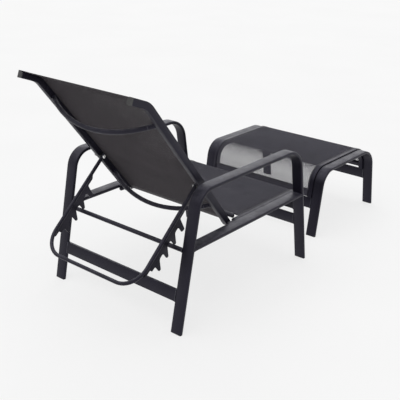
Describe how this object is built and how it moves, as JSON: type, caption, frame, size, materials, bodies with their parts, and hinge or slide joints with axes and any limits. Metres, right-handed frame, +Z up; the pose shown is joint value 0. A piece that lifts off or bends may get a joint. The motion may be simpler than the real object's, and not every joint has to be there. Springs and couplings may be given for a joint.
{
  "type": "reclining sun lounger",
  "caption": "Garden recliner with flat-tube side frames, mesh slings, a backrest held by a notched stay and a matching free-standing footstool.",
  "frame": {"origin": "on the floor, under the middle of the bounding box of chair and footstool together", "axes": "+Z up; the chair faces -Y, so the footstool is at -Y and the backrest leans towards +Y; +X is the sitter's left"},
  "size_m": [0.7828, 1.8204, 0.915],
  "materials": {
    "powder_coat": "satin anthracite powder coat",
    "mesh_cloth": "matt coated open mesh weave",
    "steel": "plain steel",
    "black_plastic": "matt black",
    "grey_plastic": "matt grey"
  },
  "bodies": {
    "chair_frame": {"side_frame_left": "powder_coat", "side_rail_left": "powder_coat", "rear_foot_left": "black_plastic", "front_foot_left": "black_plastic", "seat_rail_left": "powder_coat", "hinge_bracket_left": "powder_coat", "hinge_spacer_left": "black_plastic", "hinge_bolt_left": "steel", "side_frame_right": "powder_coat", "side_rail_right": "powder_coat", "rear_foot_right": "black_plastic", "front_foot_right": "black_plastic", "seat_rail_right": "powder_coat", "hinge_bracket_right": "powder_coat", "hinge_spacer_right": "black_plastic", "hinge_bolt_right": "steel", "rear_crossbar": "powder_coat", "front_crossbar": "powder_coat", "catch_bar": "powder_coat", "seat_fabric_bar": "powder_coat", "seat_rear_bar": "powder_coat", "seat_sling": "mesh_cloth"},
    "backrest": {"back_rail_left": "powder_coat", "hinge_lug_left": "powder_coat", "rail_cap_left": "grey_plastic", "stay_spacer_left": "black_plastic", "stay_bolt_left": "steel", "stay_nut_left": "steel", "back_rail_right": "powder_coat", "hinge_lug_right": "powder_coat", "rail_cap_right": "grey_plastic", "stay_spacer_right": "black_plastic", "stay_bolt_right": "steel", "stay_nut_right": "steel", "back_brace_upper": "powder_coat", "back_brace_lower": "powder_coat", "back_sling": "mesh_cloth"},
    "stay": {"stay_bail": "powder_coat", "notch_plate_left": "powder_coat", "notch_plate_right": "powder_coat"},
    "footstool": {"stool_frame_left": "powder_coat", "stool_rail_left": "powder_coat", "stool_rear_foot_left": "black_plastic", "stool_front_foot_left": "black_plastic", "stool_frame_right": "powder_coat", "stool_rail_right": "powder_coat", "stool_rear_foot_right": "black_plastic", "stool_front_foot_right": "black_plastic", "stool_rear_crossbar": "powder_coat", "stool_front_crossbar": "powder_coat", "stool_rear_fabric_bar": "powder_coat", "stool_front_fabric_bar": "powder_coat", "stool_sling": "mesh_cloth"}
  },
  "joints": [
    {"name": "back_recline", "type": "hinge", "parent": "chair_frame", "child": "backrest", "pos_m": [-0.0414, 0.38225, 0.31852], "axis": [1, 0, 0], "range_deg": [0, 28]},
    {"name": "stay_swing", "type": "hinge", "parent": "backrest", "child": "stay", "pos_m": [-0.0414, 0.54701, 0.5104], "axis": [1, 0, 0], "range_deg": [0, 80]},
    {"name": "footstool_place", "type": "slide", "parent": "chair_frame", "child": "footstool", "axis": [0, 1, 0], "range_m": [-0.3, 0.15]}
  ]
}
